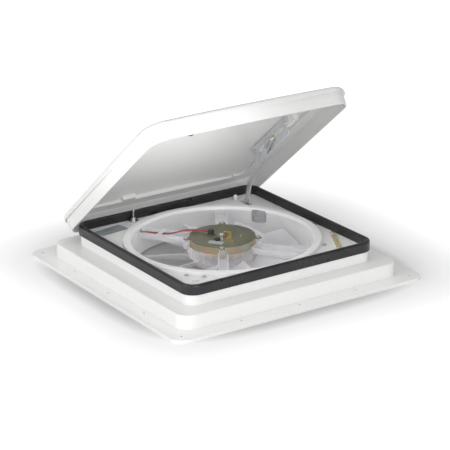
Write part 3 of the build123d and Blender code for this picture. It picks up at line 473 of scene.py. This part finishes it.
brightParts = ["hinge_pin_left", "hinge_pin_right", "lift_pivot_pin", "roller_clip", "roller_pin",
               "fan_shaft", "bracket_screws", "rotor_nut", "drive_pinion", "motor_boss", "switch_body",
               "switch_plunger"]
wardrobe = [
    # how the finish is made, its name, its values, the nodes that wear it
    (moulded, "whiteMoulding", whiteMoulding, ["base_frame"]),
    (moulded, "lidShell", lidShell, ["lid_cap"]),
    (moulded, "lidTray", lidTray, ["lid_frame"]),
    (moulded, "ringGloss", ringGloss, ["intake_ring"]),
    (moulded, "sealRubber", sealRubber, ["dome_seal"]),
    (clearPlastic, "clearWall", clearWall, ["duct_shroud"]),
    (clearPlastic, "clearCup", clearCup, ["motor_spider", "wire_clip"]),
    (clearPlastic, "bladePlastic", bladePlastic, ["fan_rotor"]),
    (moulded, "blackPlastic", blackPlastic, ["motor_connector", "motor_brush_holder"]),
    (moulded, "blackRubber", blackRubber, ["lid_bumper"]),
    (moulded, "greyHousing", greyHousing, ["drive_housing"]),
    (moulded, "whiteNylon", whiteNylon, ["ball_post", "lift_spacer", "deck_foot"]),
    (moulded, "tanPlastic", tanPlastic, ["arm_roller"]),
    (moulded, "redSleeve", redSleeve, ["red_wire"]),
    (moulded, "greySleeve", greySleeve, ["grey_wire"]),
    (moulded, "sensorBoard", sensorBoard, ["rain_sensor"]),
    (sheetMetal, "zincPlate", zincPlate, ["lift_bracket", "lift_arm", "lift_frame", "lift_sector"]),
    (sheetMetal, "brightMetal", brightMetal, brightParts),
    (sheetMetal, "screwPlate", screwPlate, ["motor_screws", "sensor_screw", "deck_screws"]),
    (sheetMetal, "brassMetal", brassMetal, ["motor_terminals"]),
    (sheetMetal, "goldStrip", goldStrip, ["sensor_strips"]),
    (sheetMetal, "passivatedPlate", passivatedPlate, ["motor_end_plate", "motor_bearing"]),
    (iridescentCan, "canFinish", canFinish, ["motor_can", "lift_motor"]),
]

dressed = set()
for make, finish, setup, names in wardrobe:
    material = make(finish, setup)
    for name in names:
        mesh = nodes[name].data
        mesh.materials.clear()
        mesh.materials.append(material)
    dressed.update(names)
print("finishes laid on", len(dressed), "nodes, bare:", sorted(set(nodes) - dressed))


# bare plates: the label on the deck and the sticker on the motor

plateGrid = {"rings": 24, "steps": 96, "innerShare": 0.02, "squareness": 12.0, "rimPower": 16}
deckLabel = {"place": (-0.132, 0.152, 0.0495), "turn": 8.0, "halfLength": 0.029, "halfWidth": 0.014,
             "thickness": 0.00025}  # metres, degrees
motorSticker = {"place": (-0.0276, -0.0223, 0.0575), "turn": -54.0, "halfLength": 0.0133,
                "halfWidth": 0.0073, "thickness": 0.0002}  # metres, degrees
labelFilm = {
    "skin": {"Colour": (0.22, 0.25, 0.27), "Shade Colour": (0.32, 0.35, 0.37), "Drift Scale": 70.0,
             "Gloss Low": 0.3, "Gloss High": 0.45, "Peel Scale": 400.0, "Peel Strength": 0.05},
}
stickerPaper = {
    "skin": {"Colour": (0.46, 0.46, 0.48), "Shade Colour": (0.38, 0.38, 0.40), "Drift Scale": 140.0,
             "Gloss Low": 0.35, "Gloss High": 0.5, "Peel Scale": 500.0, "Peel Strength": 0.05},
}


def makePlate(name, setup, grid, finish):
    # rounded plate: each ring is the curve |x/a|^n + |y/b|^n = 1 scaled by s from nearly 0 to 1,
    # with n the squareness, and the height over the seat is thickness * (1 - s^rimPower)
    rings, steps = grid["rings"], grid["steps"]
    s = np.linspace(grid["innerShare"], 1.0, rings)[:, None]
    angle = np.linspace(0.0, 2.0 * math.pi, steps, endpoint=False)[None, :]
    power = 2.0 / grid["squareness"]
    x = setup["halfLength"] * np.sign(np.cos(angle)) * np.abs(np.cos(angle)) ** power * s
    y = setup["halfWidth"] * np.sign(np.sin(angle)) * np.abs(np.sin(angle)) ** power * s
    placeX, placeY, seat = setup["place"]
    z = np.broadcast_to(seat + setup["thickness"] * (1.0 - s ** grid["rimPower"]), x.shape)
    turn = math.radians(setup["turn"])
    spots = np.stack([placeX + x * math.cos(turn) - y * math.sin(turn),
                      placeY + x * math.sin(turn) + y * math.cos(turn), z], axis=-1).reshape(-1, 3)
    inner, along = np.meshgrid(np.arange(rings - 1), np.arange(steps), indexing="ij")
    after = (along + 1) % steps
    quads = np.stack([inner * steps + along, (inner + 1) * steps + along,
                      (inner + 1) * steps + after, inner * steps + after], axis=-1).reshape(-1, 4)
    middle = list(range(steps))  # one face closes the smallest ring
    mesh = bpy.data.meshes.new(name)
    mesh.from_pydata(spots.tolist(), [], quads.tolist() + [middle])
    mesh.shade_smooth()
    mesh.materials.append(finish)
    piece = bpy.data.objects.new(name, mesh)
    bpy.context.scene.collection.objects.link(piece)
    return piece


for name, setup, finish, slot in (("deckLabel", deckLabel, labelFilm, "sensor_board"),
                                  ("motorSticker", motorSticker, stickerPaper, "white_nylon")):
    piece = makePlate(name, setup, plateGrid, moulded(name + "Film", finish))
    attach(piece, "base")
print("plates laid")
